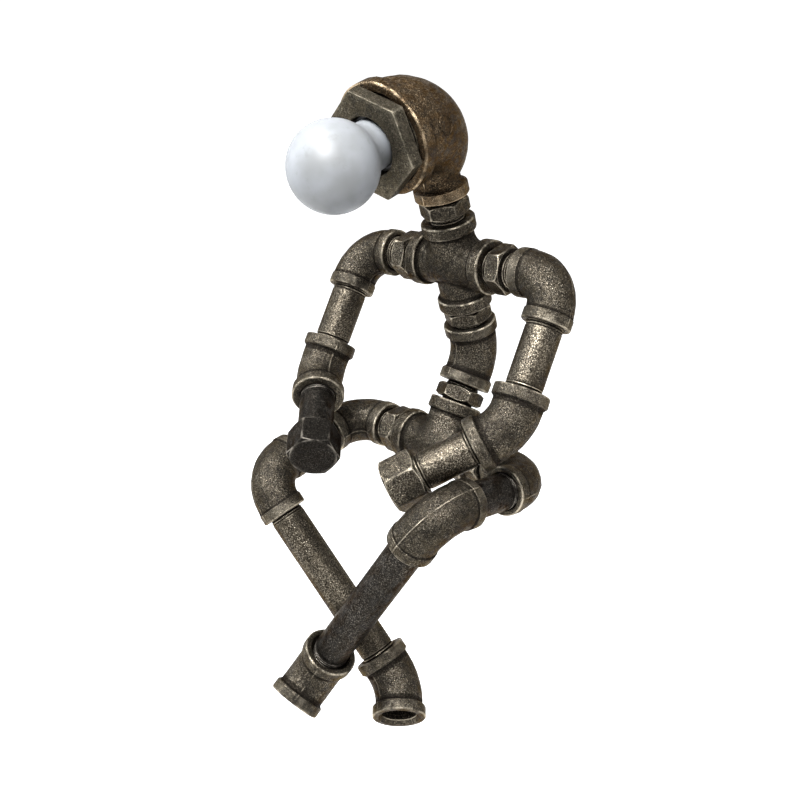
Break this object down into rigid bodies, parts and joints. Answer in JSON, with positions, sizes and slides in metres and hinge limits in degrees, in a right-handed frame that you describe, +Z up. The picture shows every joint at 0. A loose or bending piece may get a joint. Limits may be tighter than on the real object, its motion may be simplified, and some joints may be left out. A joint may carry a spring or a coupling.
{
  "type": "desk lamp",
  "caption": "Seated robot-shaped desk lamp built from threaded pipe fittings, with a frosted globe bulb for a face and turning limbs.",
  "frame": {"origin": "on the seat plane, straight below the centre of the pelvis tee", "axes": "+Z up, the figure faces -Y, and its left hand is on +X"},
  "size_m": [0.1856, 0.1735, 0.379],
  "materials": {
    "antique_bronze": "bronzed malleable iron, fine sand-cast skin, satin, worn bright on its edges",
    "warm_bronze": "bronzed malleable iron rubbed back to a warmer brown",
    "dark_iron": "dark antiqued iron with scratched corners",
    "worn_bronze": "antiqued iron with bright rubbed corners and threads",
    "antiqued_pipe": "drawn steel pipe, antiqued and rubbed along its length",
    "frosted_glass": "acid-frosted white glass, softly glossy",
    "clear_glass": "clear",
    "brass_sheet": "bright rolled sheet",
    "black_phenolic": "black moulded phenolic lamp holder",
    "black_glass": "opaque black vitrite",
    "zinc_screw": "zinc plated",
    "black_rubber": "matt"
  },
  "bodies": {
    "pelvis": {"pelvis_tee": "antique_bronze", "cable_gland": "black_rubber", "lower_spine_nipple": "worn_bronze", "hip_nipple_left": "worn_bronze", "hip_nipple_right": "worn_bronze", "spine_elbow": "antique_bronze", "upper_spine_nipple": "worn_bronze", "chest_cross": "antique_bronze", "shoulder_nipple_left": "worn_bronze", "shoulder_nipple_right": "worn_bronze", "neck_nipple": "worn_bronze", "hip_elbow_left": "antique_bronze", "thigh_left": "antiqued_pipe"},
    "head": {"head_elbow": "warm_bronze", "head_bushing": "dark_iron", "holder_body": "black_phenolic", "holder_screw_shell": "brass_sheet", "holder_contact": "brass_sheet", "holder_screw_one": "zinc_screw", "holder_screw_two": "zinc_screw", "bulb_globe": "frosted_glass", "bulb_stem": "clear_glass", "bulb_cap": "brass_sheet", "bulb_insulator": "black_glass", "bulb_contact": "brass_sheet"},
    "upper_arm_left": {"shoulder_elbow_left": "antique_bronze", "upper_arm_left": "antiqued_pipe"},
    "upper_arm_right": {"shoulder_elbow_right": "antique_bronze", "upper_arm_right": "antiqued_pipe"},
    "forearm_left": {"arm_elbow_left": "antique_bronze", "forearm_left": "antiqued_pipe", "hand_cap_left": "worn_bronze"},
    "forearm_right": {"arm_elbow_right": "antique_bronze", "forearm_right": "antiqued_pipe", "hand_cap_right": "worn_bronze"},
    "thigh_right": {"hip_elbow_right": "antique_bronze", "thigh_right": "antiqued_pipe"},
    "shin_left": {"knee_elbow_left": "antique_bronze", "shin_left": "antiqued_pipe"},
    "shin_right": {"knee_elbow_right": "antique_bronze", "shin_right": "antiqued_pipe"},
    "foot_left": {"foot_elbow_left": "antique_bronze"},
    "foot_right": {"foot_elbow_right": "antique_bronze"}
  },
  "joints": [
    {"name": "head_turn", "type": "hinge", "parent": "pelvis", "child": "head", "pos_m": [-0.01124, -0.00434, 0.21648], "axis": [-0.0739, -0.2386, 0.9683], "range_deg": [-70, 70]},
    {"name": "shoulder_swing_left", "type": "hinge", "parent": "pelvis", "child": "upper_arm_left", "pos_m": [0.07125, 0.01829, 0.13437], "axis": [0.9968, 0.012, 0.079], "range_deg": [-60, 0]},
    {"name": "elbow_turn_left", "type": "hinge", "parent": "upper_arm_left", "child": "forearm_left", "pos_m": [0.07762, -0.03053, 0.06143], "axis": [0.0724, -0.5547, -0.8289], "range_deg": [0, 25]},
    {"name": "knee_turn_left", "type": "hinge", "parent": "pelvis", "child": "shin_left", "pos_m": [0.072, -0.08525, 0.02752], "axis": [0, -0.9912, 0.1323], "range_deg": [0, 40]},
    {"name": "ankle_turn_left", "type": "hinge", "parent": "shin_left", "child": "foot_left", "pos_m": [-0.00629, -0.10248, -0.10162], "axis": [-0.515, -0.1134, -0.8496], "range_deg": [-60, 60]},
    {"name": "shoulder_swing_right", "type": "hinge", "parent": "pelvis", "child": "upper_arm_right", "pos_m": [-0.08027, 0.01647, 0.12235], "axis": [0.9968, 0.012, 0.079], "range_deg": [-60, 0]},
    {"name": "elbow_turn_right", "type": "hinge", "parent": "upper_arm_right", "child": "forearm_right", "pos_m": [-0.07414, -0.0313, 0.05231], "axis": [0.0721, -0.562, -0.824], "range_deg": [-30, 90]},
    {"name": "hip_swing_right", "type": "hinge", "parent": "pelvis", "child": "thigh_right", "pos_m": [-0.072, 0, 0.01615], "axis": [1, 0, 0], "range_deg": [0, 60]},
    {"name": "knee_turn_right", "type": "hinge", "parent": "thigh_right", "child": "shin_right", "pos_m": [-0.072, -0.08469, 0.00122], "axis": [0, -0.9848, -0.1736], "range_deg": [-70, 0]},
    {"name": "ankle_turn_right", "type": "hinge", "parent": "shin_right", "child": "foot_right", "pos_m": [0.02672, -0.06462, -0.11261], "axis": [0.6494, 0.132, -0.7489], "range_deg": [-60, 60]}
  ]
}
